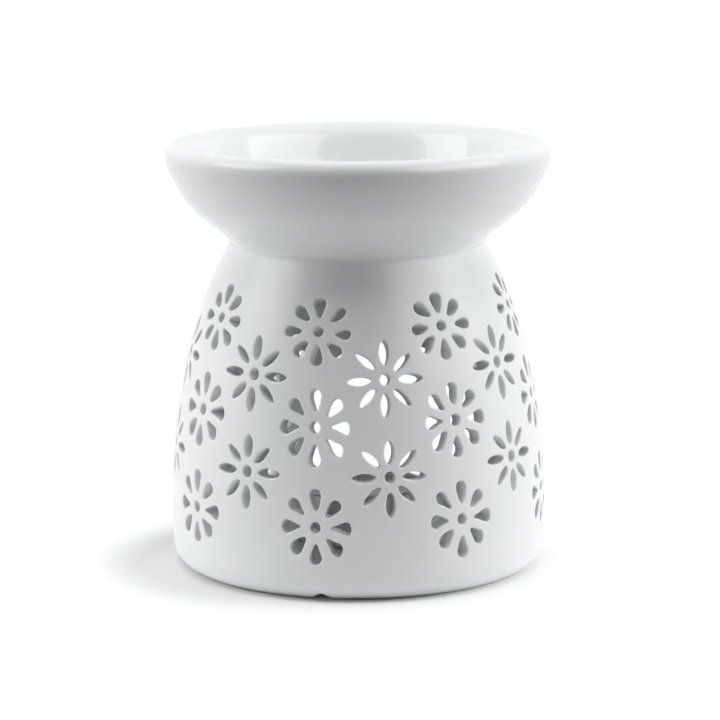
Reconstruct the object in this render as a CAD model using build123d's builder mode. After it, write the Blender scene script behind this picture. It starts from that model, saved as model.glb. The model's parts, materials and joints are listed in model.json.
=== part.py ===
from build123d import *
from math import asin, atan, cos, degrees, radians, sin, sqrt
import os

os.makedirs("parts", exist_ok=True)

# The burner stands on its foot ring at Z = 0, with its upright axis on Z.
# The front column of flowers faces -Y, and the arch for the candle opens towards +Y.

# Perforated dome: its outside is part of an upright ellipse on a rounded foot
DOME_RADIUS = 52.7  # widest, at BELLY_HEIGHT
DOME_RISE = 101.0  # upright half axis of the ellipse
BELLY_HEIGHT = 17.0
SEAT_HEIGHT = 91.8  # flat top of the dome, where the dish rests
WALL = 5.0
SEAT_SOFTENING = 0.4

FOOT_ROUND = 7.0  # radius from the table up to the wall
FOOT_RING_WIDTH = 4.9
FOOT_RECESS = 2.0  # underside above the table, inside the foot ring
RECESS_DRAFT = 1.0
FLOOR_HEIGHT = 7.0  # inside floor, where the candle stands
FLOOR_CORNER = 6.0
NOTCH_WIDTH = 7.0  # small air notch under the front of the foot
NOTCH_HEIGHT = 1.45

# Arch through the back wall
SILL_HEIGHT = 14.0
ARCH_HEIGHT = 41.9
ARCH_WIDTH = 50.4  # at the sill
ARCH_LEAN = 83.85  # degrees from level, so the sides close in upwards
ARCH_TOP_ROUND = 19.0
ARCH_SILL_ROUND = 5.0

# Flower cut-outs: teardrop flowers and lens flowers take turns round the dome
COLUMNS = 16
PETALS = 8
TEARDROP_ROWS = (23.4, 50.3, 75.0)  # heights at the sides of the dome
LENS_ROWS = (36.9, 62.7)
ROW_SLOPE = 0.05  # the whole pattern rises from the front to the back
TOP_ROW_SCALE = 0.94  # the highest flowers are a little smaller
# Right side of a petal that points up: half its width, and the distance from the flower's centre.
# Straight cuts between a few corners keep the pierced wall light to divide for collision.
TEARDROP_SIDE = ((0.5, 4.3), (0.95, 6.2), (1.65, 7.9), (1.5, 9.3), (0.65, 9.9))
LENS_SIDE = ((0.35, 3.7), (1.0, 5.0), (1.3, 6.85), (1.0, 8.7), (0.35, 10.0))
EYE_RADIUS = 1.45  # hole in the middle of each flower
EYE_SIDES = 10
ARCH_CLEAR_ANGLE = 30.0  # columns this near the arch keep only flowers above it
ARCH_CLEAR_HEIGHT = 70.0
PUNCH_OUTSIDE = 2.0
PUNCH_INSIDE = 8.0

# Oil dish: it rests on the dome and a ring under it stops it sliding off
DISH_RADIUS = 54.0
DISH_TOP = 119.5
DISH_SKIRT = ((39.3, 95.2), (43.0, 98.0), (49.1, 104.3), (52.6, 111.4))
SKIRT_START = (0.78, 0.62)  # direction in which the skirt leaves the dome
LIP_ROUND = 2.3
SHELF_EDGE = (45.6, 118.2)  # a gently sloping shelf runs in from the lip to here
BASIN_EDGE = (43.4, 115.6)  # the basin drops from here
BASIN_DROP = (-0.2, -1.0)  # direction in which it drops
BASIN_WALL = ((41.8, 109.5), (37.0, 102.5), (28.0, 98.4))
BASIN_FLOOR = 97.2
DISH_UNDERSIDE = 92.4
RING_RADIUS = 29.1  # 0.8 mm clear of the dome's mouth
RING_WIDTH = 3.4
RING_DEPTH = 3.8
RING_SOFTENING = 0.8

# Tealight: a thin drawn cup, wax, and a wick held by a pressed tab
CUP_RADIUS = 18.9
CUP_HEIGHT = 15.5
CUP_SKIN = 0.4
CUP_BASE_ROUND = 1.6
CUP_BEAD = 0.5
WAX_HEIGHT = 13.4
WAX_DIP = 0.7  # the wax is lower in the middle than at the cup
MENISCUS_WIDTH = 1.4
MENISCUS_START = (-0.5, -1.0)
TAB_RADIUS = 6.4
TAB_THICKNESS = 0.3
TAB_NECK_RADIUS = 1.4
TAB_NECK_HEIGHT = 3.2
WICK_RADIUS = 0.8
WICK_HEIGHT = 21.5

UP = (0, 1)
INWARDS = (-1, 0)
EDGE_REACH = 0.01  # how far from a stated height an edge may lie and still be picked
BACK_PLANE = Plane(origin=(0, 0, 0), x_dir=(-1, 0, 0), z_dir=(0, 1, 0))


def dome_radius(height):
    """Outside radius of the dome at a height above the table."""
    return DOME_RADIUS * sqrt(1 - ((height - BELLY_HEIGHT) / DOME_RISE) ** 2)


def dome_tilt(height):
    """How many radians the dome's outside faces upwards at a height."""
    rise = (height - BELLY_HEIGHT) / DOME_RISE
    return atan(DOME_RADIUS / DOME_RISE * rise / sqrt(1 - rise**2))


def ellipse_angle(height, rise):
    """Angle on an upright ellipse round the belly at which it reaches a height."""
    return degrees(asin((height - BELLY_HEIGHT) / rise))


def ellipse_span(height, rise):
    """Angle on that ellipse from a height up to the seat."""
    return ellipse_angle(SEAT_HEIGHT, rise) - ellipse_angle(height, rise)


def flower_plane(azimuth, height):
    """Plane on the dome's outside: x runs round the dome, y up it and z out of it."""
    turn = radians(azimuth)
    tilt = dome_tilt(height)
    radius = dome_radius(height)
    return Plane(
        origin=(radius * sin(turn), -radius * cos(turn), height),
        x_dir=(cos(turn), sin(turn), 0),
        z_dir=(cos(tilt) * sin(turn), -cos(tilt) * cos(turn), sin(tilt)),
    )


def flower_places():
    """Yield the azimuth, height, kind and size of each flower that clears the arch."""
    for column in range(COLUMNS):
        azimuth = column * 360 / COLUMNS
        teardrop = column % 2 == 0
        for row in TEARDROP_ROWS if teardrop else LENS_ROWS:
            if abs(azimuth - 180) < ARCH_CLEAR_ANGLE and row < ARCH_CLEAR_HEIGHT:
                continue
            back = -dome_radius(row) * cos(radians(azimuth))
            size = TOP_ROW_SCALE if row == TEARDROP_ROWS[-1] else 1.0
            yield azimuth, row + ROW_SLOPE * back, teardrop, size


def rings_at(piece, height):
    """Round edges of a turned piece that lie at a height."""
    rings = piece.edges().filter_by(GeomType.CIRCLE)
    return rings.filter_by_position(Axis.Z, height - EDGE_REACH, height + EDGE_REACH)


flower_outlines = {}
for teardrop, side in ((True, TEARDROP_SIDE), (False, LENS_SIDE)):
    with BuildSketch() as flower:
        RegularPolygon(EYE_RADIUS, EYE_SIDES)
        with PolarLocations(0, PETALS):
            Polygon(*side, *[(-half, out) for half, out in reversed(side)], align=None)
    flower_outlines[teardrop] = flower.sketch


def flower_punch(azimuth, height, teardrop, size):
    """The tool that cuts one flower through the wall."""
    outline = scale(flower_outlines[teardrop], by=size)
    with BuildPart() as punch:
        with BuildSketch(flower_plane(azimuth, height).offset(PUNCH_OUTSIDE)):
            add(outline)
        extrude(amount=-PUNCH_OUTSIDE - PUNCH_INSIDE)
    return punch.part


flower_punches = [flower_punch(*place) for place in flower_places()]

# The dome is one casting: wall, floor, foot ring, arch, notch and flowers
foot_radius = dome_radius(FOOT_ROUND) - FOOT_ROUND
inner_radius = DOME_RADIUS - WALL
inner_rise = DOME_RISE - WALL
belly = (0, BELLY_HEIGHT)
with BuildPart() as burner_body:
    with BuildSketch(Plane.XZ):
        with BuildLine():
            foot = CenterArc((foot_radius, FOOT_ROUND), FOOT_ROUND, -90, 90)
            outside = EllipticalCenterArc(
                belly,
                DOME_RADIUS,
                DOME_RISE,
                start_angle=ellipse_angle(FOOT_ROUND, DOME_RISE),
                arc_size=ellipse_span(FOOT_ROUND, DOME_RISE),
            )
            inside = EllipticalCenterArc(
                belly,
                inner_radius,
                inner_rise,
                start_angle=ellipse_angle(FLOOR_HEIGHT, inner_rise),
                arc_size=ellipse_span(FLOOR_HEIGHT, inner_rise),
            )
            Line(outside @ 1, inside @ 1)
            Polyline(
                inside @ 0,
                (0, FLOOR_HEIGHT),
                (0, FOOT_RECESS),
                (foot_radius - FOOT_RING_WIDTH - RECESS_DRAFT, FOOT_RECESS),
                (foot_radius - FOOT_RING_WIDTH, 0),
                foot @ 0,
            )
        make_face()
    revolve(axis=Axis.Z)
    fillet(rings_at(burner_body, FLOOR_HEIGHT), FLOOR_CORNER)
    fillet(rings_at(burner_body, SEAT_HEIGHT), SEAT_SOFTENING)
    with BuildSketch(BACK_PLANE) as arch:
        with Locations((0, SILL_HEIGHT)):
            Trapezoid(ARCH_WIDTH, ARCH_HEIGHT, ARCH_LEAN, align=(Align.CENTER, Align.MIN))
        fillet(arch.vertices().sort_by(Axis.Y)[:2], ARCH_SILL_ROUND)
        fillet(arch.vertices().sort_by(Axis.Y)[-2:], ARCH_TOP_ROUND)
    extrude(amount=2 * DOME_RADIUS, mode=Mode.SUBTRACT)
    with BuildSketch(Plane.XZ):
        Ellipse(NOTCH_WIDTH / 2, NOTCH_HEIGHT)
    extrude(amount=2 * DOME_RADIUS, mode=Mode.SUBTRACT)
    add(flower_punches, mode=Mode.SUBTRACT)
burner_body.part.label = "burner_body"
export_step(burner_body.part, "parts/burner_body.step")

# The dish is a second casting: flared skirt, rolled lip, sloping shelf, basin and ring
with BuildPart() as oil_dish:
    with BuildSketch(Plane.XZ):
        with BuildLine():
            skirt = Spline(
                (dome_radius(SEAT_HEIGHT), SEAT_HEIGHT),
                *DISH_SKIRT,
                (DISH_RADIUS, DISH_TOP - LIP_ROUND),
                tangents=(SKIRT_START, UP),
            )
            lip = CenterArc((DISH_RADIUS - LIP_ROUND, DISH_TOP - LIP_ROUND), LIP_ROUND, 0, 90)
            shelf = Spline(lip @ 1, SHELF_EDGE, BASIN_EDGE, tangents=(INWARDS, BASIN_DROP))
            basin = Spline(
                BASIN_EDGE,
                *BASIN_WALL,
                (0, BASIN_FLOOR),
                tangents=(BASIN_DROP, INWARDS),
            )
            Polyline(
                basin @ 1,
                (0, DISH_UNDERSIDE),
                (RING_RADIUS - RING_WIDTH, DISH_UNDERSIDE),
                (RING_RADIUS - RING_WIDTH, SEAT_HEIGHT - RING_DEPTH),
                (RING_RADIUS, SEAT_HEIGHT - RING_DEPTH),
                (RING_RADIUS, SEAT_HEIGHT),
                skirt @ 0,
            )
        make_face()
    revolve(axis=Axis.Z)
    fillet(rings_at(oil_dish, SEAT_HEIGHT - RING_DEPTH), RING_SOFTENING)
oil_dish.part.label = "oil_dish"
export_step(oil_dish.part, "parts/oil_dish.step")

# The tealight stands on the floor inside the dome
tealight_plane = Plane(origin=(0, 0, FLOOR_HEIGHT), x_dir=(1, 0, 0), z_dir=(0, -1, 0))
with BuildPart() as tealight_cup:
    with BuildSketch(tealight_plane):
        with BuildLine():
            base = Line((0, 0), (CUP_RADIUS - CUP_BASE_ROUND, 0))
            corner = CenterArc(
                (CUP_RADIUS - CUP_BASE_ROUND, CUP_BASE_ROUND), CUP_BASE_ROUND, -90, 90)
            side = Line(corner @ 1, (CUP_RADIUS, CUP_HEIGHT - CUP_BEAD))
            bead = ThreePointArc(
                side @ 1,
                (CUP_RADIUS + CUP_BEAD - CUP_SKIN, CUP_HEIGHT - CUP_BEAD / 2),
                (CUP_RADIUS - CUP_SKIN, CUP_HEIGHT),
            )
            inner_side = Line(bead @ 1, (CUP_RADIUS - CUP_SKIN, CUP_BASE_ROUND))
            inner_corner = CenterArc(
                (CUP_RADIUS - CUP_BASE_ROUND, CUP_BASE_ROUND), CUP_BASE_ROUND - CUP_SKIN, -90, 90)
            Polyline(inner_corner @ 0, (0, CUP_SKIN), base @ 0)
        make_face()
    revolve(axis=Axis.Z)
tealight_cup.part.label = "tealight_cup"
export_step(tealight_cup.part, "parts/tealight_cup.step")

with BuildPart() as wick_sustainer:
    with BuildSketch(tealight_plane):
        with BuildLine():
            Polyline(
                (WICK_RADIUS, CUP_SKIN),
                (TAB_RADIUS, CUP_SKIN),
                (TAB_RADIUS, CUP_SKIN + TAB_THICKNESS),
                (TAB_NECK_RADIUS, CUP_SKIN + TAB_THICKNESS),
                (TAB_NECK_RADIUS, CUP_SKIN + TAB_NECK_HEIGHT),
                (WICK_RADIUS, CUP_SKIN + TAB_NECK_HEIGHT),
                close=True,
            )
        make_face()
    revolve(axis=Axis.Z)
wick_sustainer.part.label = "wick_sustainer"
export_step(wick_sustainer.part, "parts/wick_sustainer.step")

with BuildPart() as tealight_wick:
    with BuildSketch(Plane.XY.offset(FLOOR_HEIGHT + CUP_SKIN)):
        Circle(WICK_RADIUS)
    extrude(amount=WICK_HEIGHT - CUP_SKIN)
    fillet(edges().sort_by(Axis.Z)[-1], WICK_RADIUS / 2)
tealight_wick.part.label = "tealight_wick"
export_step(tealight_wick.part, "parts/tealight_wick.step")

with BuildPart() as tealight_wax:
    with BuildSketch(tealight_plane):
        with BuildLine():
            wax_corner = CenterArc(
                (CUP_RADIUS - CUP_BASE_ROUND, CUP_BASE_ROUND), CUP_BASE_ROUND - CUP_SKIN, -90, 90)
            wax_side = Line(wax_corner @ 1, (CUP_RADIUS - CUP_SKIN, WAX_HEIGHT))
            wax_top = Spline(
                wax_side @ 1,
                (CUP_RADIUS - CUP_SKIN - MENISCUS_WIDTH, WAX_HEIGHT - WAX_DIP / 2),
                (WICK_RADIUS, WAX_HEIGHT - WAX_DIP),
                tangents=(MENISCUS_START, INWARDS),
            )
            Polyline(
                wax_top @ 1,
                (WICK_RADIUS, CUP_SKIN + TAB_NECK_HEIGHT),
                (TAB_NECK_RADIUS, CUP_SKIN + TAB_NECK_HEIGHT),
                (TAB_NECK_RADIUS, CUP_SKIN + TAB_THICKNESS),
                (TAB_RADIUS, CUP_SKIN + TAB_THICKNESS),
                (TAB_RADIUS, CUP_SKIN),
                wax_corner @ 0,
            )
        make_face()
    revolve(axis=Axis.Z)
tealight_wax.part.label = "tealight_wax"
export_step(tealight_wax.part, "parts/tealight_wax.step")
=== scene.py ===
# %% [markdown]
# # A pierced ceramic oil burner
#
# The burner is a white glazed dome with flowers cut through its wall, a wide arch in its back for
# the candle, and a loose flared dish on top for water and scented oil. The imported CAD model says
# where everything is. This script keeps those places and makes what the eye sees: clay with glaze
# that has rounded every cut edge, a thin aluminium candle cup, wax, and a braided wick.
#
# Lengths are in millimetres until a mesh is made, because a potter's sizes are easier to read that
# way. Azimuth 0 is the front of the burner, towards -Y, and grows towards +X.

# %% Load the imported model
import json
import math

import bpy
import numpy as np
from mathutils import Matrix, Vector
from mathutils.geometry import delaunay_2d_cdt
from mathutils.kdtree import KDTree

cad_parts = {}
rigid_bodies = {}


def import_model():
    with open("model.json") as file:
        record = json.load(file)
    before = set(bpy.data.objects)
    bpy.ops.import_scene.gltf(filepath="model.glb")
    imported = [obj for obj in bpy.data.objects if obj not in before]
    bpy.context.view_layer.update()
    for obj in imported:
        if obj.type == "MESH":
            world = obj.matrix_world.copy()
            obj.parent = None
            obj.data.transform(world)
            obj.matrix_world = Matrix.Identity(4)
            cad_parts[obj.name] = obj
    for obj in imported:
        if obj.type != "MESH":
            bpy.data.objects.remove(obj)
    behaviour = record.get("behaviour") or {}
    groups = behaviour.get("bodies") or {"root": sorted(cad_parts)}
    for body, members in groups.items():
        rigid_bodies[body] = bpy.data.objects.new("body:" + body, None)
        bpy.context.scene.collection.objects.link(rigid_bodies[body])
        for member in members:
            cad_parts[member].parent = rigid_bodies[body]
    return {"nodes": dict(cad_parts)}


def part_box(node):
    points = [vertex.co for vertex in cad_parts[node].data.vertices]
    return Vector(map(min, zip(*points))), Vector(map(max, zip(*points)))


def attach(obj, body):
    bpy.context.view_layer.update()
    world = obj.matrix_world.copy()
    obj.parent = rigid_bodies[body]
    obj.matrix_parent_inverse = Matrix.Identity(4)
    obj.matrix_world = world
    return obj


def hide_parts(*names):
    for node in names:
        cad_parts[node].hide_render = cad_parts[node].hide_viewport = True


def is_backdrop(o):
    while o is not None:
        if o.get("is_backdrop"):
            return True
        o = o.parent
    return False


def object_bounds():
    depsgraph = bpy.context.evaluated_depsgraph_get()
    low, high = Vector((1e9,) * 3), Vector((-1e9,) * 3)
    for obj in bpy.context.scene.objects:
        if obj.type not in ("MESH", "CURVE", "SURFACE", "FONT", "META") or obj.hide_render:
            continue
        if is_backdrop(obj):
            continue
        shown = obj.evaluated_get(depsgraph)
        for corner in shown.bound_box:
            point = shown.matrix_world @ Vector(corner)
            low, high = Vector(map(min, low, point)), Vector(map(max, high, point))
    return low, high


MM = 0.001
for thing in list(bpy.data.objects):
    bpy.data.objects.remove(thing)
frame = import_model()
cad_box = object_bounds()
for node in sorted(frame["nodes"]):
    low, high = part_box(node)
    print(node, [round(value / MM, 1) for value in (*low, *high)])

# %% [markdown]
# ## The camera
#
# A long lens from a little above shows the dome almost without perspective. The camera comes
# first, because every look at the work goes through it. Its place is given round the burner's own
# axis: how far round, how far off and how high, then how far down it looks and its small roll.

# %% Set up the camera
CAMERA_AZIMUTH = 13.4
CAMERA_DISTANCE = 900.0
CAMERA_HEIGHT = 219.87
CAMERA_PITCH = 10.235
CAMERA_AIM = -0.038  # degrees that it looks past the axis
CAMERA_ROLL = -0.247
CAMERA_LENS = 162.09  # focal length, on Blender's own 36 mm sensor


def turn(axis, degrees):
    """A rotation about one of the axes, as a 4 by 4 matrix."""
    return Matrix.Rotation(math.radians(degrees), 4, axis)


def round_axis(azimuth, radius, height):
    """Point at an azimuth and a distance from the burner's axis, in millimetres."""
    angle = math.radians(azimuth)
    return Vector((radius * math.sin(angle), -radius * math.cos(angle), height))


camera = bpy.data.objects.new("camera", bpy.data.cameras.new("camera"))
camera.data.lens = CAMERA_LENS
camera.matrix_world = (
    Matrix.Translation(round_axis(CAMERA_AZIMUTH, CAMERA_DISTANCE, CAMERA_HEIGHT) * MM)
    @ turn("Z", CAMERA_AZIMUTH + CAMERA_AIM)
    @ turn("X", 90 - CAMERA_PITCH)
    @ turn("Z", CAMERA_ROLL)
)
bpy.context.scene.collection.objects.link(camera)
bpy.context.scene.camera = camera
print("camera at", [round(value, 4) for value in camera.matrix_world.translation])

# %% [markdown]
# ## The wall of the dome
#
# A potter would call the body a dome; in numbers it is part of an upright ellipse turned round its
# axis, with a second, smaller ellipse inside it. Knowing the surface exactly is worth a lot: any
# point can be slid along a line until it lies on the wall, and the normal there needs no guessing.

# %% Describe the wall
DOME_RADIUS = 52.7
DOME_RISE = 101.0
BELLY_HEIGHT = 17.0
SEAT_HEIGHT = 91.8
WALL = 5.0
BELLY = np.array((0.0, 0.0, BELLY_HEIGHT))


def unit(vectors):
    """The same directions, one long."""
    return vectors / np.linalg.norm(vectors, axis=-1, keepdims=True)


def half_axes(depth):
    """Half axes of the wall surface that lies some depth in from the outside."""
    return np.array((DOME_RADIUS - depth, DOME_RADIUS - depth, DOME_RISE - depth))


def wall_radius(height, depth=0.0):
    """Radius of that surface at a height."""
    wide, _, tall = half_axes(depth)
    return wide * np.sqrt(1 - ((height - BELLY_HEIGHT) / tall) ** 2)


def wall_normal(points, depth=0.0):
    """Directions straight out of that surface."""
    return unit((points - BELLY) / half_axes(depth) ** 2)


def onto_wall(points, direction, depth=0.0):
    """Slide points along a direction to the far side of that surface."""
    start = (points - BELLY) / half_axes(depth)
    step = direction / half_axes(depth)
    a = (step * step).sum(-1)
    b = (start * step).sum(-1)
    c = (start * start).sum(-1) - 1
    reach = (np.sqrt(b * b - a * c) - b) / a
    return points + reach[:, None] * direction


print("radius at the seat", round(float(wall_radius(SEAT_HEIGHT)), 2))

# %% [markdown]
# ## The petals
#
# Each flower is eight petals round an eye, cut through soft clay with a die of thin bent metal. One
# die leaves teardrops and the other leaves pointed leaves. The dies were bent by hand, so no two
# petals of a flower are alike, but the same petal comes back in every flower: the lower right
# teardrop always has a waist, and those at the sides are almost triangles. A boolean cut of one
# perfect teardrop would lose that. So each petal's outline is written down as a few points, up its
# right side and back down its left.

# %% Write down the petals
PETALS = 8
TEARDROPS = (  # clockwise from the top one: (across, out from the eye) millimetres
    ((0.4, 4.4), (0.9, 5.8), (1.2, 7.6), (1.3, 8.8), (0.7, 9.9), (-0.3, 10.2), (-1.3, 9.9),
     (-1.7, 8.9), (-1.6, 7.5), (-1.0, 5.7), (-0.5, 4.5), (0.0, 4.2)),
    ((0.5, 4.5), (1.0, 5.5), (1.3, 7.1), (1.4, 8.6), (0.9, 9.4), (0.0, 9.9), (-1.2, 9.7),
     (-1.7, 9.0), (-1.8, 7.8), (-1.3, 6.4), (-0.5, 4.8), (0.0, 4.3)),
    ((0.4, 4.6), (0.8, 5.9), (1.6, 7.7), (1.95, 8.8), (1.4, 9.6), (0.3, 9.9), (-0.8, 9.7),
     (-1.7, 9.2), (-1.85, 8.3), (-1.5, 7.2), (-0.9, 5.9), (-0.5, 4.7), (-0.1, 4.3)),
    ((0.5, 4.8), (0.8, 5.8), (1.4, 7.6), (1.6, 8.9), (1.2, 9.8), (0.2, 10.2), (-1.0, 9.6),
     (-1.8, 8.5), (-1.8, 7.5), (-1.1, 6.2), (-0.8, 5.2), (-0.4, 4.5), (0.2, 4.4)),
    ((0.5, 5.0), (1.0, 6.2), (1.5, 8.0), (1.4, 9.4), (0.6, 10.2), (-0.5, 10.2), (-1.4, 9.4),
     (-1.7, 8.1), (-1.3, 7.0), (-0.8, 5.4), (-0.4, 4.6), (0.1, 4.4)),
    ((0.6, 4.6), (1.0, 5.4), (1.5, 6.9), (1.5, 8.6), (0.7, 9.6), (-0.6, 10.1), (-1.7, 9.5),
     (-1.9, 8.1), (-1.2, 6.2), (-0.6, 4.9), (-0.2, 4.3), (0.2, 4.2)),
    ((0.4, 4.8), (0.9, 5.9), (1.6, 7.6), (1.8, 8.6), (0.9, 9.4), (-0.3, 9.7), (-1.4, 9.3),
     (-2.0, 8.3), (-1.6, 7.1), (-0.8, 5.7), (-0.4, 4.7), (0.0, 4.4)),
    ((0.5, 4.9), (0.9, 6.3), (1.6, 8.1), (1.5, 9.2), (0.8, 9.9), (-0.2, 10.0), (-1.1, 9.3),
     (-1.6, 8.2), (-1.2, 6.9), (-0.8, 6.0), (-0.5, 4.9), (0.0, 4.5)),
)
TOP_TEARDROPS = (  # the smaller die of the top row is more regular, so four petals serve twice
    ((0.5, 4.0), (1.05, 5.5), (1.55, 7.2), (1.35, 8.6), (0.0, 9.3), (-1.4, 8.7), (-1.65, 7.2),
     (-1.05, 5.3), (-0.5, 4.0), (0.0, 3.7)),
    ((0.5, 4.2), (1.1, 5.0), (1.5, 6.6), (1.3, 8.2), (0.2, 9.1), (-1.2, 8.8), (-1.6, 7.5),
     (-0.95, 5.6), (-0.4, 4.3), (0.0, 4.0)),
    ((0.4, 4.8), (0.9, 5.9), (1.4, 7.5), (1.2, 8.8), (0.0, 9.4), (-1.2, 8.9), (-1.5, 7.4),
     (-1.0, 5.9), (-0.5, 5.0), (0.0, 4.6)),
    ((0.5, 4.4), (0.95, 5.8), (1.35, 7.8), (0.9, 9.1), (-0.2, 9.5), (-1.4, 8.6), (-1.65, 7.1),
     (-0.9, 5.3), (-0.5, 4.5), (0.0, 4.2)),
) * 2
LEAVES = PETALS // 2 * (  # an upright or level leaf, then a slanting one, which is smaller
    ((0.3, 3.9), (0.9, 5.0), (1.25, 6.8), (1.1, 8.6), (0.5, 10.0), (-0.2, 10.4), (-0.9, 9.3),
     (-1.3, 7.2), (-1.05, 5.3), (-0.3, 4.0)),
    ((0.3, 3.7), (0.9, 4.7), (1.1, 6.4), (0.85, 8.2), (0.3, 9.6), (-0.3, 9.8), (-0.8, 8.6),
     (-1.05, 6.8), (-0.9, 5.2), (-0.3, 3.8)),
)
print(len(TEARDROPS), "teardrops,", len(TOP_TEARDROPS), "top teardrops,", len(LEAVES), "leaves")

# %% [markdown]
# ## Smooth outlines
#
# A few points are only the corners of a petal. A Catmull-Rom curve passes through every point it
# is given, so it rounds the petal without moving what was measured. The curve is then walked in
# equal steps, because evenly spaced points make well-shaped triangles later. The eye is an oval.

# %% Draw the outlines
PETAL_POINTS = 34
SPAN_STEPS = 8


def evenly(outline, count):
    """Space points evenly round a closed outline."""
    closed = np.vstack((outline, outline[:1]))
    steps = np.linalg.norm(np.diff(closed, axis=0), axis=1)
    walked = np.concatenate(((0.0,), np.cumsum(steps)))
    stops = np.linspace(0, walked[-1], count, endpoint=False)
    return np.stack([np.interp(stops, walked, closed[:, side]) for side in (0, 1)], axis=1)


def smooth_span(before, start, end, after, steps):
    """Points from start towards end on the Catmull-Rom curve that also heeds their neighbours."""
    shares = np.linspace(0, 1, steps, endpoint=False)[:, None]
    return 0.5 * (
        2 * start
        + (end - before) * shares
        + (2 * before - 5 * start + 4 * end - after) * shares**2
        + (3 * start - before - 3 * end + after) * shares**3)


def petal_outline(corners, count):
    """A smooth closed outline through the points of a petal."""
    points = np.array(corners)
    turns = [np.roll(points, shift, axis=0) for shift in (1, 0, -1, -2)]
    return evenly(np.vstack([smooth_span(*four, SPAN_STEPS) for four in zip(*turns)]), count)


def eye_outline(width, length, count):
    """The oval hole in the middle of a flower."""
    angles = np.linspace(0, 2 * math.pi, count, endpoint=False)
    return np.stack((width * np.cos(angles), length * np.sin(angles)), axis=1)


print("a teardrop is", np.ptp(petal_outline(TEARDROPS[0], PETAL_POINTS), axis=0).round(2), "mm")
print("a leaf is", np.ptp(petal_outline(LEAVES[0], PETAL_POINTS), axis=0).round(2), "mm")

# %% [markdown]
# ## Where the flowers are
#
# Sixteen columns stand round the dome, teardrops and leaves in turn. Their rows rise a little from
# the front to the back, and the columns lean a little, as they do when a pattern sheet is wrapped
# round a dome by eye. Near the arch only the highest flowers are left.

# %% Place the flowers
COLUMNS = 16
TEARDROP_ROWS = (23.4, 50.3, 75.0)
LEAF_ROWS = (36.9, 62.7)
ROW_SLOPE = 0.05
COLUMN_LEAN = -0.022  # degrees of azimuth for each millimetre above the middle row
LEAN_HEIGHT = 48.0
ARCH_CLEAR_ANGLE = 30.0
ARCH_CLEAR_HEIGHT = 70.0


def flower_places():
    """Yield the azimuth, height and petals of each flower that clears the arch."""
    for column in range(COLUMNS):
        azimuth = column * 360 / COLUMNS
        teardrop = column % 2 == 0
        for row in TEARDROP_ROWS if teardrop else LEAF_ROWS:
            if abs(azimuth - 180) < ARCH_CLEAR_ANGLE and row < ARCH_CLEAR_HEIGHT:
                continue
            height = row - ROW_SLOPE * wall_radius(row) * math.cos(math.radians(azimuth))
            lean = COLUMN_LEAN * (height - LEAN_HEIGHT)
            if teardrop:
                petals = TOP_TEARDROPS if row == TEARDROP_ROWS[-1] else TEARDROPS
            else:
                petals = LEAVES
            yield azimuth + lean, height, petals


def flower_frame(azimuth, height):
    """Centre of a flower on the wall, and the directions round and up the dome there."""
    centre = np.array(round_axis(azimuth, float(wall_radius(height)), height))
    angle = math.radians(azimuth)
    across = np.array((math.cos(angle), math.sin(angle), 0.0))
    up = np.cross(wall_normal(centre), across)
    return centre, across, up


print(len(list(flower_places())), "flowers")

# %% [markdown]
# ## Cut edges
#
# Glaze rounds every cut edge: on the real piece each hole has a bright soft rim about half a
# millimetre wide. So a hole is more than an outline. It is a stack of rings: one on the wall a
# little outside the cut, a few that roll over the edge, then straight down the cut and over a
# smaller edge inside. The roll is a short quadratic curve, which leaves the wall and enters the
# cut without a crease, whatever the angle between them. Its direction at each ring gives the
# normals there, so that reflections run over the edge without a ripple.

# %% Shape the cut edges
OUTER_ROLL = 0.5
INNER_ROLL = 0.3
OUTER_STEPS = 5
INNER_STEPS = 3


def sideways(outline):
    """Directions square to a closed outline, away from the hole inside it."""
    along = np.roll(outline, -1, axis=0) - np.roll(outline, 1, axis=0)
    return unit(np.stack((along[:, 1], -along[:, 0]), axis=1))


def rolled_edge(outline, place, direction, depth, roll, steps):
    """Rings from the wall over the edge of a hole and into its cut.

    place turns flat outline points into points in space, direction is the way the cutter went,
    pointing out of the dome, and depth says which surface of the wall the edge belongs to.
    """
    inwards = 1 if depth else -1
    edge = onto_wall(place(outline), direction, depth)
    on_wall = onto_wall(place(outline + roll * sideways(outline)), direction, depth)
    in_cut = edge + inwards * roll * direction
    rings = []
    for share in np.linspace(0, 1, steps):
        points = (1 - share) ** 2 * on_wall + 2 * share * (1 - share) * edge + share**2 * in_cut
        across = (1 - share) * (edge - on_wall) + share * (in_cut - edge)
        along = np.roll(points, -1, axis=0) - np.roll(points, 1, axis=0)
        rings.append((points, inwards * unit(np.cross(across, along))))
    rings[0] = (on_wall, -inwards * wall_normal(on_wall, depth))
    return rings


def hole_rings(outline, place, direction, outer_roll=OUTER_ROLL):
    """The rings of one hole, from the outside of the wall to its inside, each with its normals."""
    outer = rolled_edge(outline, place, direction, 0.0, outer_roll, OUTER_STEPS)
    inner = rolled_edge(outline, place, direction, WALL, INNER_ROLL, INNER_STEPS)
    return outer + inner[::-1]


print(OUTER_STEPS + INNER_STEPS, "rings to a hole")

# %% [markdown]
# ## Cut all the flowers
#
# The clay gives a little at every cut, so each petal also gets its own small stretch, slip and turn
# from one seeded generator. Every run gives the same burner. The cutter is pushed in square to the
# wall, except at the flower right of the front in the middle row, where the hand leant to the left:
# there one can look past the cuts and out through the arch.

# %% Cut the flowers
PETAL_TURN = 0.8  # degrees
PETAL_SLIP = 0.08  # millimetres
PETAL_STRETCH = 0.025
EYE_POINTS = 26
EYE_WIDTH = 1.38
EYE_LENGTH = 1.6
EYE_STRETCH = (0.95, 1.03)
LEANING_FLOWER = (45.0, 48.0)  # near this azimuth and height
LEANING_NEAR = 3.0
LEAN_DEGREES = -8.0
chance = np.random.default_rng(16)


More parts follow.
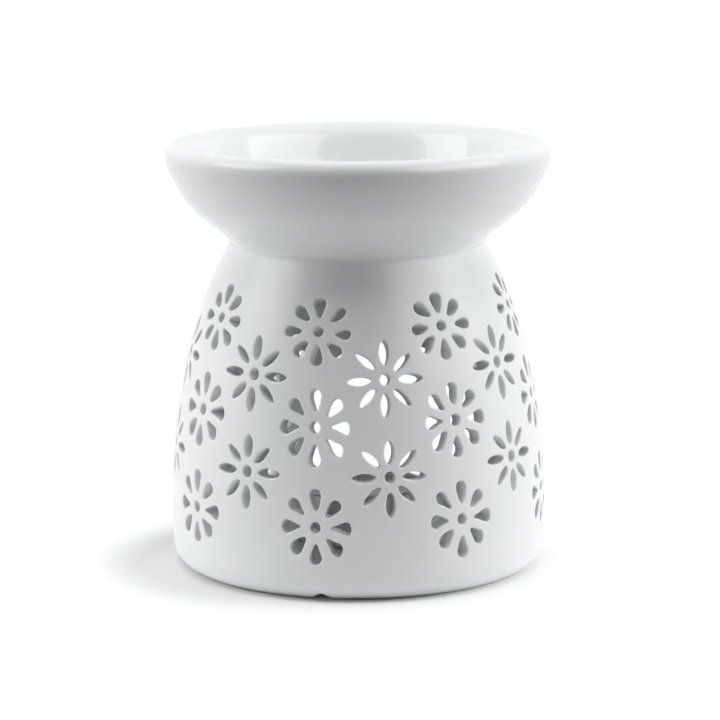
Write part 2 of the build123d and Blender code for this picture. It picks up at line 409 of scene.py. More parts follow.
def flat_turn(points, degrees):
    """Turn flat points anticlockwise about the flower's middle."""
    angle = math.radians(degrees)
    c, s = math.cos(angle), math.sin(angle)
    return points @ np.array(((c, s), (-s, c)))


def flower_holes(azimuth, height, petals):
    """Yield the rings of the nine holes of one flower."""
    centre, across, up = flower_frame(azimuth, height)
    leaning = math.dist((azimuth, height), LEANING_FLOWER) < LEANING_NEAR
    tip = np.array(turn("Z", LEAN_DEGREES if leaning else 0).to_3x3())

    def place(flat):
        return centre + flat[:, :1] * across + flat[:, 1:] * up

    def cut(outline):
        middle = place(outline.mean(0, keepdims=True))
        direction = wall_normal(onto_wall(middle, wall_normal(centre)))[0]
        return hole_rings(outline, place, tip @ direction)

    length = EYE_WIDTH if petals is TOP_TEARDROPS else EYE_LENGTH
    yield cut(eye_outline(EYE_WIDTH, length, EYE_POINTS) * chance.uniform(*EYE_STRETCH))
    for number, corners in enumerate(petals):
        outline = petal_outline(corners, PETAL_POINTS)
        outline = outline * (1 + PETAL_STRETCH * chance.normal(size=2)) + (
            PETAL_SLIP * chance.normal(size=2))
        turned = -number * 360 / PETALS + PETAL_TURN * chance.normal()
        yield cut(flat_turn(outline, turned))


holes = [rings for place in flower_places() for rings in flower_holes(*place)]
print(len(holes), "holes with", sum(len(rings[0][0]) for rings in holes), "points on their edges")

# %% [markdown]
# ## The arch in the back
#
# The candle goes in through an arch with a low sill. Its sides stand upright on small round
# corners, and its top is nearly half an ellipse. A superellipse makes such ovals leaner or fuller
# with one number, and the dish's lip needs one too. The arch was cut straight through towards +Y
# and wiped with a wet sponge, so its edge is rounder than a petal's.

# %% Cut the arch
SILL_HEIGHT = 14.0
ARCH_TOP = 55.6
ARCH_SPRING = 34.0
ARCH_WIDTH = 50.8
ARCH_CORNER = 5.0
ARCH_FULLNESS = 1.9
ARCH_ROLL = 1.2
ARCH_POINTS = 150


def oval(angles, fullness):
    """Points of a superellipse one wide and one high. A fullness of 2 is a circle."""
    across = np.sign(np.cos(angles)) * np.abs(np.cos(angles)) ** (2 / fullness)
    return np.stack((across, np.sin(angles) ** (2 / fullness)), axis=1)


def arch_outline():
    """The arch as one who stands behind the burner sees it, with x to the right."""
    half = ARCH_WIDTH / 2
    quarter = np.linspace(0, math.pi / 2, 10)
    corner = np.stack((ARCH_CORNER * np.sin(quarter), -ARCH_CORNER * np.cos(quarter)), axis=1)
    right = corner + (half - ARCH_CORNER, SILL_HEIGHT + ARCH_CORNER)
    top = oval(np.linspace(0, math.pi, 120), ARCH_FULLNESS)
    top = top * (half, ARCH_TOP - ARCH_SPRING) + (0, ARCH_SPRING)
    return evenly(np.vstack((right, top, right[::-1] * (-1, 1))), ARCH_POINTS)


def behind(flat):
    """Points of a flat outline set upright across the burner and seen from behind."""
    return np.stack((-flat[:, 0], np.zeros(len(flat)), flat[:, 1]), axis=1)


holes.append(hole_rings(arch_outline(), behind, np.array((0.0, 1.0, 0.0)), ARCH_ROLL))
print("arch from", SILL_HEIGHT, "to", ARCH_TOP, "mm")

# %% [markdown]
# ## A map of the wall
#
# A wall with three hundred holes can't be a neat grid of squares. It is filled with triangles by a
# Delaunay triangulation, which works on flat points. So the dome is first pressed flat into a ring,
# the way a map maker does it: without changing angles, so that triangles which are well shaped on
# the map are well shaped on the dome too. The foot is the outer edge of the map and the seat its
# inner edge, and no seam has to be sewn up.

# %% Map the wall
MAP_HEIGHTS = np.linspace(2.0, 96.0, 600)
MAP_SIZE = 10.0


def map_spread():
    """Distance from the map's middle for each of MAP_HEIGHTS."""
    radius = wall_radius(MAP_HEIGHTS)
    slope = np.gradient(radius, MAP_HEIGHTS)
    steps = np.sqrt(1 + slope**2) / radius
    gone = np.cumsum(steps) * (MAP_HEIGHTS[1] - MAP_HEIGHTS[0])
    return MAP_SIZE * np.exp(-gone)


MAP_SPREAD = map_spread()


def flat_map(points):
    """Where points of the wall lie on the flat map."""
    angle = np.arctan2(points[:, 0], -points[:, 1])
    spread = np.interp(points[:, 2], MAP_HEIGHTS, MAP_SPREAD)
    return np.stack((spread * np.cos(angle), spread * np.sin(angle)), axis=1)


print("the map reaches from", MAP_SPREAD[-1].round(2), "to", MAP_SPREAD[0].round(2))

# %% [markdown]
# ## Filling the wall between the holes
#
# Triangles that run from hole to hole would be long and thin, and glossy glaze would show each one.
# So points are strewn over the wall first, in rows like bricks, but not close to an edge. The
# triangulation then joins all of it on the map, and says which triangles lie in a hole. Those are
# left out.

# %% Fill the wall
FILL_STEP = 2.0  # filling points stand this far apart
FILL_GAP = 0.8  # and stay this far from an edge
MAP_TOLERANCE = 1e-9


def filling(depth, foot, seat, edges):
    """Points spread evenly over the wall between two heights, clear of all edges."""
    tree = KDTree(len(edges))
    for number, point in enumerate(edges):
        tree.insert(point, number)
    tree.balance()
    found = []
    rows = int((seat - foot) / FILL_STEP)
    for row, height in enumerate(np.linspace(foot, seat, rows + 1)[1:-1]):
        radius = float(wall_radius(height, depth))
        count = int(2 * math.pi * radius / FILL_STEP)
        for step in range(count):
            point = round_axis((step + 0.5 * (row % 2)) * 360 / count, radius, height)
            if tree.find(point)[2] > FILL_GAP:
                found.append(point)
    return np.array(found)


def fill_wall(depth, lower_ring, upper_ring, edge_rings):
    """Triangles between two level rings, leaving every edge ring open.

    Returns the points in order: lower ring, upper ring, edge rings, filling; and the triangles.
    """
    rings = [lower_ring, upper_ring, *edge_rings]
    edges = np.vstack(rings)
    inside = filling(depth, lower_ring[:, 2].mean(), upper_ring[:, 2].mean(), edges)
    points = np.vstack((edges, inside))
    starts = np.cumsum([0] + [len(ring) for ring in rings])
    loops = [list(range(starts[i], starts[i + 1])) for i in range(len(rings))]
    flat = [Vector(point) for point in flat_map(points)]
    rim = [(loops[0][i - 1], loops[0][i]) for i in range(len(loops[0]))]
    made, _, faces, made_from, _, inside_of = delaunay_2d_cdt(
        flat, rim, loops[1:], 0, MAP_TOLERANCE)
    assert len(made) == len(points), "the map folded over itself"
    source = [numbers[0] for numbers in made_from]
    triangles = [
        [source[corner] for corner in face]
        for face, holes_over in zip(faces, inside_of) if not holes_over]
    return points, np.array(triangles)


print("filling points every", FILL_STEP, "mm")

# %% [markdown]
# ## Gathering a surface
#
# Every glazed piece is a pile of rings and triangles that share points. A small class keeps them:
# it hands out numbers for new points, joins rings with bands of faces, and makes the mesh at the
# end, with normals that follow the true surface. Glossy glaze shows the least ripple in normals.

# %% A class that gathers points and faces
class Clay:
    """Points, normals and faces of one piece, in millimetres until it becomes a mesh."""

    def __init__(self):
        self.points = []
        self.normals = []
        self.faces = []
        self.count = 0

    def add(self, points, normals=None):
        """Keep points and return their numbers. Without normals they take those of their faces."""
        points = np.asarray(points, float)
        self.points.append(points)
        self.normals.append(np.zeros_like(points) if normals is None else normals)
        numbers = np.arange(self.count, self.count + len(points))
        self.count += len(points)
        return numbers

    def band(self, first, second):
        """Join two closed rings of equally many points."""
        quads = np.stack((first, np.roll(first, -1), np.roll(second, -1), second), axis=1)
        self.faces += quads.tolist()

    def stack(self, rings):
        """Join each ring to the one after it."""
        for first, second in zip(rings, rings[1:]):
            self.band(first, second)

    def cap(self, ring, centre):
        """Close a ring with a fan of triangles round a centre point."""
        middle = int(self.add([centre])[0])
        self.faces += [[int(a), int(b), middle] for a, b in zip(ring, np.roll(ring, -1))]

    def piece(self, name, body, node, bend=None):
        """Make the mesh from the points that faces use, and have it stand for its CAD node.

        bend is a function that moves the points a last time.
        """
        used = np.zeros(self.count, bool)
        used[[corner for face in self.faces for corner in face]] = True
        numbers = np.cumsum(used) - 1
        faces = [[int(numbers[corner]) for corner in face] for face in self.faces]
        mesh = bpy.data.meshes.new(name)
        points = np.vstack(self.points)[used]
        mesh.from_pydata(((bend(points) if bend else points) * MM).tolist(), [], faces)
        mesh.shade_smooth()
        mesh.normals_split_custom_set_from_vertices(np.vstack(self.normals)[used].tolist())
        made = bpy.data.objects.new(name, mesh)
        bpy.context.scene.collection.objects.link(made)
        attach(made, body)
        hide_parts(node)
        print(name, len(mesh.vertices), "points", len(mesh.polygons), "faces")
        return made


print("clay ready")

# %% [markdown]
# ## Turning on the wheel
#
# Foot, floor, seat and the whole dish are turned shapes: a profile taken round the axis. A profile
# runs with the clay on its left, from the middle of the underside, up the outside, over the top
# and back down the inside. A screw modifier could turn it too, but then the rings couldn't be
# joined to anything else. The wheel stops more often where the foot's notch will be.

# %% Turn a profile round the axis
AZIMUTH_STEP = 1.25
NOTCH_AZIMUTHS = np.arange(-3.5, 7.01, 0.25)
wheel = np.concatenate((np.arange(0, 360, AZIMUTH_STEP), NOTCH_AZIMUTHS % 360))
wheel = np.unique(wheel.round(3))


def ring(radius, height):
    """A level ring of points round the axis."""
    angles = np.radians(wheel)
    return np.stack(
        (radius * np.sin(angles), -radius * np.cos(angles), np.full(len(wheel), height)), axis=1)


def turned(profile):
    """The rings of a profile, each with its normals, which lie to the right of its way."""
    profile = np.array(profile, float)
    steps = np.linalg.norm(np.diff(profile, axis=0), axis=1)
    walked = np.concatenate(((0.0,), np.cumsum(steps)))
    outwards, upwards = unit(np.gradient(profile, walked, axis=0, edge_order=2)).T
    return [
        (ring(*place), ring(rise, -run)) for place, run, rise in zip(profile, outwards, upwards)]


def arc(centre, radius, start, end, steps):
    """Profile points along an arc, angles in degrees from straight outwards."""
    angles = np.radians(np.linspace(start, end, steps))
    return [(centre[0] + radius * math.cos(a), centre[1] + radius * math.sin(a)) for a in angles]


print(len(wheel), "steps round the wheel")

# %% [markdown]
# ## The dome's foot, seat and floor
#
# The foot, the seat and the floor are turned, and the wall between them is filled later. Glaze has
# run into the corner between dome and dish and made it a soft hollow, so the top of the wall and
# the bottom of the dish are two parts of one curve, with a hair's breadth of a seam between them.
# Two separate roundings would show a dark line where the real piece has none.

# %% Shape the foot, seat and floor
FOOT_ROUND = 7.0
FOOT_RING_WIDTH = 4.9
FOOT_RECESS = 2.0
FLOOR_HEIGHT = 7.0
FLOOR_CORNER = 3.0
SEAT_ROUND = 0.6
RECESS_SLOPE = 1.4
RECESS_ROUND = 0.5
FOOT_EDGE = 0.4
SEAM_LOW = 90.2  # the hollow starts at this height on the wall
SEAM_HIGH = (37.0, 93.6)  # and ends at this radius and height on the dish
SEAM_EDGE = 0.08
SEAM_SEARCH_STEP = 0.002
foot_radius = float(wall_radius(FOOT_ROUND)) - FOOT_ROUND
ring_inside = foot_radius - FOOT_RING_WIDTH
corner_height = FLOOR_HEIGHT + FLOOR_CORNER
corner_radius = float(wall_radius(corner_height, WALL)) - FLOOR_CORNER
seat_inside = float(wall_radius(SEAT_HEIGHT - SEAT_ROUND, WALL))

underside = [
    *[(radius, FOOT_RECESS) for radius in (12, 24, 34)],
    *arc((ring_inside - RECESS_SLOPE, FOOT_RECESS - RECESS_ROUND), RECESS_ROUND, 90, 30, 4),
    *arc((ring_inside + 0.3, FOOT_EDGE), FOOT_EDGE, 200, 270, 4),
    *[(ring_inside + width, 0.0) for width in (1.2, 2.4, 3.6)],
    *arc((foot_radius, FOOT_ROUND), FOOT_ROUND, -90, 0, 22)[:-1],
]


def seam_curve(first, last, steps):
    """Part of the soft hollow curve where the glaze runs from the dome (0) into the dish (1)."""
    start = np.array((float(wall_radius(SEAM_LOW)), SEAM_LOW))
    corner = np.array((float(wall_radius(SEAT_HEIGHT)), SEAT_HEIGHT))
    shares = np.linspace(first, last, steps)[:, None]
    points = (1 - shares) ** 2 * start + 2 * shares * (1 - shares) * corner
    return [tuple(point) for point in points + shares**2 * np.array(SEAM_HIGH)]


seam_share = 0.5  # then down the curve to the height of the seam
while seam_curve(seam_share, 1, 2)[0][1] > SEAT_HEIGHT - SEAM_EDGE:
    seam_share -= SEAM_SEARCH_STEP
seam_radius = seam_curve(seam_share, 1, 2)[0][0]
seat = [
    *seam_curve(0, seam_share, 8)[1:],
    *arc((seam_radius - SEAM_EDGE, SEAT_HEIGHT - SEAM_EDGE), SEAM_EDGE, 20, 90, 4),
    *arc((seat_inside + SEAT_ROUND, SEAT_HEIGHT - SEAT_ROUND), SEAT_ROUND, 90, 175, 5),
]
floor_inside = [
    *arc((corner_radius, corner_height), FLOOR_CORNER, -8, -90, 9),
    *[(radius, FLOOR_HEIGHT) for radius in (36, 26, 14)],
]
print("seam at radius", round(float(seam_radius), 2))

# %% [markdown]
# ## A notch and a lean
#
# No hand-made piece is quite round. A small notch just right of the front lets air under the foot,
# and the seam is a little lower towards the camera. Both are made by moving points of the turned
# rings: the rings stay joined, which a boolean cut for the notch would put at risk.

# %% Press the notch and lean the seam
NOTCH_MIDDLE = 1.4
NOTCH_HALF_WIDTH = 3.9
NOTCH_HEIGHT = 2.15
SEAM_TILT = 0.013  # down for each millimetre towards the camera
SEAM_REACH = 7.0  # the tilt fades out over this height


def press_notch(points, normals):
    """Push the underside of the foot up into a small bell-shaped notch."""
    near = np.clip(np.abs(points[:, 0] - NOTCH_MIDDLE) / NOTCH_HALF_WIDTH, 0, 1)
    bell = NOTCH_HEIGHT * (0.5 + 0.5 * np.cos(math.pi * near)) * (points[:, 1] < 0)
    pushed = bell > points[:, 2]
    lifted = points.copy()
    lifted[pushed, 2] = bell[pushed]
    return lifted, np.where(pushed[:, None], 0.0, normals)


def soft_step(share):
    """0 below 0, 1 above 1, and a soft step between them."""
    share = np.clip(share, 0, 1)
    return share**2 * (3 - 2 * share)


def lean(points):
    """How far the points near the seam sink."""
    azimuth = math.radians(CAMERA_AZIMUTH)
    towards = points[:, 0] * math.sin(azimuth) - points[:, 1] * math.cos(azimuth)
    return SEAM_TILT * towards * soft_step(1 - np.abs(points[:, 2] - SEAT_HEIGHT) / SEAM_REACH)


def bend_dome(points):
    """Let the top of the dome lean."""
    return points - np.outer(lean(points), (0, 0, 1))


print("notch", NOTCH_HEIGHT, "mm high")
print("seam", round(SEAM_TILT * 2 * float(seam_radius), 2), "mm lower in front than behind")

# %% [markdown]
# ## Building the dome
#
# On the real piece all of this is one casting, so it becomes one closed mesh. Each hole's rings
# join the outside of the wall to its inside, and the two sides of the wall are filled between the
# edges of the holes. Sharing points, and not overlapping parts, is what keeps the glaze unbroken.

# %% Build the dome
dome = Clay()
foot_rings = [dome.add(*press_notch(*made)) for made in turned(underside)]
seat_rings = [dome.add(*made) for made in turned(seat)]
floor_rings = [dome.add(*made) for made in turned(floor_inside)]
hole_numbers = [[dome.add(*made) for made in rings] for rings in holes]
dome.stack(foot_rings)
dome.stack(seat_rings)
dome.stack(floor_rings)
for rings in hole_numbers:
    dome.stack(rings)
dome.cap(foot_rings[0][::-1], (0, 0, FOOT_RECESS))
dome.cap(floor_rings[-1], (0, 0, FLOOR_HEIGHT))

outer_low = ring(float(wall_radius(FOOT_ROUND)), FOOT_ROUND)
outer_high = ring(float(wall_radius(SEAM_LOW)), SEAM_LOW)
inner_low = ring(float(wall_radius(corner_height, WALL)), corner_height)
inner_high = ring(seat_inside, SEAT_HEIGHT - SEAT_ROUND)


def close_wall(depth, low, high, side, below, above):
    """Fill one side of the wall, and sew it to the turned rings below and above it.

    side picks the ring of each hole that lies on this side: 0 the first, -1 the last.
    """
    outside = side == 0
    way = 1 if outside else -1
    points, triangles = fill_wall(depth, low, high, [rings[side][0] for rings in holes])
    known = [dome.add(level, way * wall_normal(level, depth)) for level in (low, high)]
    known += [numbers[side] for numbers in hole_numbers]
    extra = points[sum(len(numbers) for numbers in known):]
    extra = dome.add(extra, way * wall_normal(extra, depth))
    numbers = np.concatenate((*known, extra))
    dome.faces += numbers[triangles if outside else triangles[:, ::-1]].tolist()
    for first, second in ((below, known[0]), (known[1], above)):
        dome.band(*((first, second) if outside else (second, first)))


close_wall(0.0, outer_low, outer_high, 0, foot_rings[-1], seat_rings[0])
close_wall(WALL, inner_low, inner_high, -1, floor_rings[0], seat_rings[-1])
burner = dome.piece("pierced_dome", "burner", "burner_body", bend_dome)

# %% [markdown]
# ## The oil dish
#
# The dish is turned in one go. Its skirt flares out from the dome in a long curve, rolls over into
# a soft lip, and runs in over a gently sloping shelf before it drops into the basin. A ring under
# it sits inside the dome's mouth. The same splines as for the petals run through the measured
# points. The lip is flat on top and tight at its edge: a full oval shows that as a bright band with
# a dark one close under it.

# %% Draw the dish's profile
DISH_SKIRT = (  # (radius, height), as all the dish's points
    (38.7, 95.1), (42.5, 98.0), (46.2, 101.3), (49.3, 105.2), (51.8, 109.8), (53.2, 113.0))
LIP_MIDDLE = (49.5, 115.6)
LIP_REACH = 4.3
LIP_RISE = 3.85
LIP_FULLNESS = 2.5
SHELF = ((47.7, 119.15), (46.1, 118.5), (44.8, 117.5), (43.8, 115.8))
BASIN = ((42.6, 112.4), (41.0, 108.0), (37.0, 102.9), (31.0, 99.6), (22.0, 97.9), (10.0, 97.25))
BASIN_FLOOR = 97.2
DISH_UNDERSIDE = 92.4
RING_RADIUS = 29.1
RING_WIDTH = 3.4
RING_DEPTH = 3.8
RING_ROUND = 0.9
RING_HOLLOW = 0.8
RING_ROOT = 0.6
SEAM_OPENING = 0.05  # share of the seam's curve between dome and dish


def through(points, steps):
    """A smooth profile through points, with so many steps between each two."""
    points = np.array(points, float)
    padded = np.vstack((2 * points[0] - points[1], points, 2 * points[-1] - points[-2]))
    fours = zip(padded, padded[1:], padded[2:], padded[3:])
    spans = [smooth_span(*four, steps=steps) for four in fours]
    return [tuple(point) for point in np.vstack((*spans, points[-1:]))]


def lip(start, end, steps):
    """Part of the lip's oval, angles in degrees from straight outwards."""
    points = oval(np.radians(np.linspace(start, end, steps)), LIP_FULLNESS)
    return [tuple(point) for point in points * (LIP_REACH, LIP_RISE) + LIP_MIDDLE]


ring_inner = RING_RADIUS - RING_WIDTH
ring_low = SEAT_HEIGHT - RING_DEPTH
foot_share = seam_share + SEAM_OPENING
dish_profile = [
    (8, DISH_UNDERSIDE),
    (17, DISH_UNDERSIDE),
    *arc((ring_inner - RING_HOLLOW, DISH_UNDERSIDE - RING_HOLLOW), RING_HOLLOW, 90, 0, 5),
    *arc((ring_inner + RING_ROUND, ring_low + RING_ROUND), RING_ROUND, 180, 270, 6),
    *arc((RING_RADIUS - RING_ROUND, ring_low + RING_ROUND), RING_ROUND, 270, 360, 6),
    *arc((RING_RADIUS + RING_ROOT, SEAT_HEIGHT - RING_ROOT), RING_ROOT, 180, 90, 4),
    (32, SEAT_HEIGHT),
    *arc((seam_radius - SEAM_EDGE, SEAT_HEIGHT + SEAM_EDGE), SEAM_EDGE, -90, -20, 4),
    *seam_curve(foot_share, 1, 8)[:-1],
    *through((SEAM_HIGH, *DISH_SKIRT, (LIP_MIDDLE[0] + LIP_REACH, LIP_MIDDLE[1])), 5),
    *lip(4, 96, 24),
    *through((*SHELF, *BASIN), 5),
]
print(len(dish_profile), "points in the dish's profile")

# %% [markdown]
# ## Turning the dish
#
# Both ends of the profile are closed with a fan of triangles. The dish has to lean with the dome,
# or the seam would gape on one side. It also sits a hair off centre, as it was set down in the
# photograph, and both are worked into its shape, so that the lift still goes straight up.

# %% Turn the dish
DISH_SLIP = 0.18  # to the camera's right
DISH_SLIP_REACH = 15.0  # over this height above the seat


def bend_dish(points):
    """Let the dish lean with the dome and slip off centre."""
    share = soft_step((points[:, 2] - SEAT_HEIGHT) / DISH_SLIP_REACH)
    azimuth = math.radians(CAMERA_AZIMUTH)
    slip = DISH_SLIP * np.array((math.cos(azimuth), math.sin(azimuth), 0))
    return points + np.outer(share, slip) - np.outer(lean(points), (0, 0, 1))


dish_clay = Clay()
dish_rings = [dish_clay.add(*made) for made in turned(dish_profile)]
dish_clay.stack(dish_rings)
dish_clay.cap(dish_rings[0][::-1], (0, 0, DISH_UNDERSIDE))
dish_clay.cap(dish_rings[-1], (0, 0, BASIN_FLOOR))
dish = dish_clay.piece("flared_dish", "dish", "oil_dish", bend_dish)

# %% [markdown]
# ## The tealight's cup
#
# The cup is drawn from thin aluminium sheet. Its side keeps fine upright flutes from the die, and
# its rim is rolled over. Cutting forty grooves would be slow, so the cup is turned like the dish,
# and the flutes are pressed in afterwards by drawing its points towards the axis.

# %% Draw the cup
CUP_RADIUS = 18.9
CUP_HEIGHT = 15.5
CUP_SKIN = 0.4
CUP_BASE_ROUND = 1.6
CUP_INNER_ROUND = 1.2
CUP_LIFT = 0.02  # off the floor
RIM_ROUND = 0.45
FLUTES = 40
FLUTE_DEPTH = 0.1
FLUTE_TOP = 0.82
FLUTE_FADES = (6, 8)  # how fast they fade out at the base and at the rim


def fluted(points):
    """Press shallow upright flutes into the side of the cup, fading out at base and rim."""
    angles = np.arctan2(points[:, 0], -points[:, 1])
    up = (points[:, 2] - FLOOR_HEIGHT) / CUP_HEIGHT
    at_base, at_rim = up * FLUTE_FADES[0], (FLUTE_TOP - up) * FLUTE_FADES[1]
    strength = np.clip(at_base, 0, 1) * np.clip(at_rim, 0, 1)
    radius = np.hypot(points[:, 0], points[:, 1])
    strength = strength * (radius > CUP_RADIUS - 1)
    shrink = 1 - FLUTE_DEPTH * strength * (0.5 + 0.5 * np.cos(FLUTES * angles)) / radius
    return points * np.stack((shrink, shrink, np.ones(len(points))), axis=1)


cup_top = FLOOR_HEIGHT + CUP_HEIGHT
cup_inside = CUP_RADIUS - CUP_SKIN
cup_base = FLOOR_HEIGHT + CUP_SKIN
cup_profile = [
    (9, FLOOR_HEIGHT + CUP_LIFT),
    *arc((CUP_RADIUS - CUP_BASE_ROUND, FLOOR_HEIGHT + CUP_BASE_ROUND), CUP_BASE_ROUND, -90, 0, 8),
    *[(CUP_RADIUS, FLOOR_HEIGHT + height) for height in (3, 5, 7, 9, 11, 12.5, 13.5)],
    (CUP_RADIUS - 0.05, cup_top - 1.4),
    *arc((CUP_RADIUS - 0.35, cup_top - RIM_ROUND), RIM_ROUND, -50, 150, 12),
    *[(cup_inside, cup_top - depth) for depth in (1.4, 2.5, 4, 6, 8, 10, 12, 13.4)],
    *arc((cup_inside - CUP_INNER_ROUND, cup_base + CUP_INNER_ROUND), CUP_INNER_ROUND, 0, -90, 7),
    (9, cup_base),
]
cup_clay = Clay()
cup_rings = [cup_clay.add(fluted(made[0])) for made in turned(cup_profile)]
cup_clay.stack(cup_rings)
cup_clay.cap(cup_rings[0][::-1], (0, 0, FLOOR_HEIGHT + CUP_LIFT))
cup_clay.cap(cup_rings[-1], (0, 0, cup_base))
cup = cup_clay.piece("candle_cup", "tealight", "tealight_cup")

# %% [markdown]
# ## The wax
#
# Wax is poured hot. It climbs the cup a little at its edge, sinks as it cools, and stands up again
# round the wick. Its top is written down as a few points and smoothed, because that sunken skin is
# what tells wax from a plain white disc.

# %% Pour the wax
WAX_RADIUS = 18.35
WAX_TOP = FLOOR_HEIGHT + 13.4
WAX_ROUND = 1.3
WAX_GAP = 0.05
WAX_SKIN = (  # (in from the side, down from the top) millimetres
    (0.0, 0.05), (0.25, 0.3), (0.8, 0.6), (2.35, 0.8), (7.35, 1.0), (12.35, 1.15), (15.35, 1.2),
    (16.55, 1.1), (17.3, 0.75), (17.75, 0.4))
WAX_AT_WICK = 0.35  # down from the top, too
wax_base = cup_base + WAX_GAP
wax_profile = [
    (9, wax_base),
    *arc((WAX_RADIUS - WAX_ROUND, wax_base + WAX_ROUND), WAX_ROUND, -90, 0, 6),
    *[(WAX_RADIUS, FLOOR_HEIGHT + height) for height in (5, 9, 12)],
    *through([(WAX_RADIUS - inwards, WAX_TOP - down) for inwards, down in WAX_SKIN], 3),
]
wax_clay = Clay()
wax_rings = [wax_clay.add(*made) for made in turned(wax_profile)]
wax_clay.stack(wax_rings)
wax_clay.cap(wax_rings[0][::-1], (0, 0, wax_base))
wax_clay.cap(wax_rings[-1], (0, 0, WAX_TOP - WAX_AT_WICK))
wax = wax_clay.piece("poured_wax", "tealight", "tealight_wax")

# %% [markdown]
# ## The wick
#
# The wick is three cotton strands braided together and dipped in wax. A plain rod would look like
# plastic. In a flat braid each strand swings from side to side once while it goes over and under
# twice, which is a figure of eight seen from above. So three tubes follow that path, a third of a
# swing apart.

# %% Braid the wick
WICK_BOTTOM = cup_base + 0.1
WICK_TOP = FLOOR_HEIGHT + 21.4
WICK_STEPS = 110
STRANDS = 3
STRAND_RADIUS = 0.3
BRAID_PITCH = 3.2
BRAID_WIDTH = 0.42
BRAID_DEPTH = 0.2


def tube(clay, path, radius, sides=8):
    """A round tube along a path of points, closed at both ends."""
    along = unit(np.gradient(path, axis=0))
    right = unit(np.cross(along, (0.0, 1.0, 0.0)))
    ahead = np.cross(right, along)
    angles = np.linspace(0, 2 * math.pi, sides, endpoint=False)
    rings = []
    for middle, u, v in zip(path, right, ahead):
        rings.append(clay.add([
            middle + radius * (math.cos(angle) * u + math.sin(angle) * v) for angle in angles]))
    for lower, upper in zip(rings, rings[1:]):
        clay.band(upper, lower)
    clay.cap(rings[0], path[0])
    clay.cap(rings[-1][::-1], path[-1])


wick_clay = Clay()
heights = np.linspace(WICK_BOTTOM, WICK_TOP, WICK_STEPS)
for strand in range(STRANDS):
    phase = 2 * math.pi * (heights / BRAID_PITCH + strand / STRANDS)
    path = (BRAID_WIDTH * np.sin(phase), BRAID_DEPTH * np.sin(2 * phase), heights)
    tube(wick_clay, np.stack(path, axis=1), STRAND_RADIUS)
wick = wick_clay.piece("braided_wick", "tealight", "tealight_wick")

# %% [markdown]
# ## Writing shaders as sums
#
# A material is worked out by nodes, and a long list of nodes and links says little about glaze or
# wax. With a class that stands for a node's output, and knows how to be added and multiplied, the
# recipe of a material reads like the sum it is.

# %% A class for shader sums
class Output:
    """One output of a shader node. Sums with it add Math nodes."""

    def __init__(self, recipe, socket):
        self.recipe = recipe
        self.socket = socket

    def beside(self, name):
        """Another output of the same node."""
        return Output(self.recipe, self.socket.node.outputs[name])

    def math(self, operation, first, second=0.0):
        """The output of a new Math node."""
        return self.recipe.node("ShaderNodeMath", {"operation": operation}, {0: first, 1: second})

    def __add__(self, other):
        return self.math("ADD", self, other)

    def __sub__(self, other):
        return self.math("SUBTRACT", self, other)

    def __mul__(self, other):
        return self.math("MULTIPLY", self, other)

    def __rsub__(self, other):
        return self.math("SUBTRACT", other, self)

    __radd__ = __add__
    __rmul__ = __mul__

    def size(self):
        """The value without its sign."""
        return self.math("ABSOLUTE", self)

    def clear_of(self, start, end):
        """0 up to start, 1 beyond end, and a soft step between them."""
        return self.recipe.node("ShaderNodeMapRange", {"interpolation_type": "SMOOTHSTEP"}, {
            "Value": self, "From Min": start, "From Max": end})


print("sums ready")

# %% [markdown]
# ## Adding nodes
#
# Sums need something to start from. A recipe holds one material's nodes and adds new ones through a
# single method: the kind of node, its settings, and the values or links of its sockets. What every
# piece needs has a short name here: a place on the piece, noise, a blend of two colours, and bumps.

# %% A class that adds nodes
class Recipe:
    """The nodes of a new material, or of the world if that is given as their owner."""

    def __init__(self, name, owner=None):
        self.owner = owner or bpy.data.materials.new(name)
        self.owner.use_nodes = True
        self.nodes = self.owner.node_tree.nodes
        self.links = self.owner.node_tree.links
        self.nodes.clear()

    def node(self, kind, settings=None, sockets=None, out=0):
        """Add a node: its settings first, then values or links for its sockets."""
        made = self.nodes.new(kind)
        for name, value in (settings or {}).items():
            setattr(made, name, value)
        for name, value in (sockets or {}).items():
            if isinstance(value, Output):
                self.links.new(value.socket, made.inputs[name])
            else:
                made.inputs[name].default_value = value
        return Output(self, made.outputs[out]) if len(made.outputs) else None

    def place(self):
        """Where a point is on its piece, in metres."""
        return self.node("ShaderNodeTexCoord", out="Object")

    def noise(self, place, grain, detail=2.0, stretch=(1.0, 1.0, 1.0)):
        """Cloudy noise whose clouds are about grain metres across, or longer along stretch."""
        scaled = self.node("ShaderNodeVectorMath", {"operation": "MULTIPLY"}, {
            0: place, 1: tuple(1 / (grain * long) for long in stretch)})
        return self.node("ShaderNodeTexNoise", {}, {
            "Vector": scaled, "Scale": 1.0, "Detail": detail, "Roughness": 0.5})

    def blend(self, share, first, second):
        """A colour between two colours. A Mix node's sockets share names, so numbers pick them."""
        colors = [
            color if isinstance(color, Output) else (*color, 1.0) for color in (first, second)]
        return self.node("ShaderNodeMix", {"data_type": "RGBA"}, {
            0: share, 6: colors[0], 7: colors[1]}, out=2)

    def bump(self, height, distance):
        """Normals from a height, where a height of 1 is distance metres."""
        return self.node("ShaderNodeBump", {}, {
            "Height": height, "Distance": distance, "Strength": 1.0})

    def surface(self, **sockets):
        """The finished surface. Underlines in the names of sockets stand for spaces."""
        shader = self.node("ShaderNodeBsdfPrincipled", {}, {
            name.replace("_", " "): value for name, value in sockets.items()})
        self.node("ShaderNodeOutputMaterial", {}, {"Surface": shader})
        return self.owner


print("recipes ready")

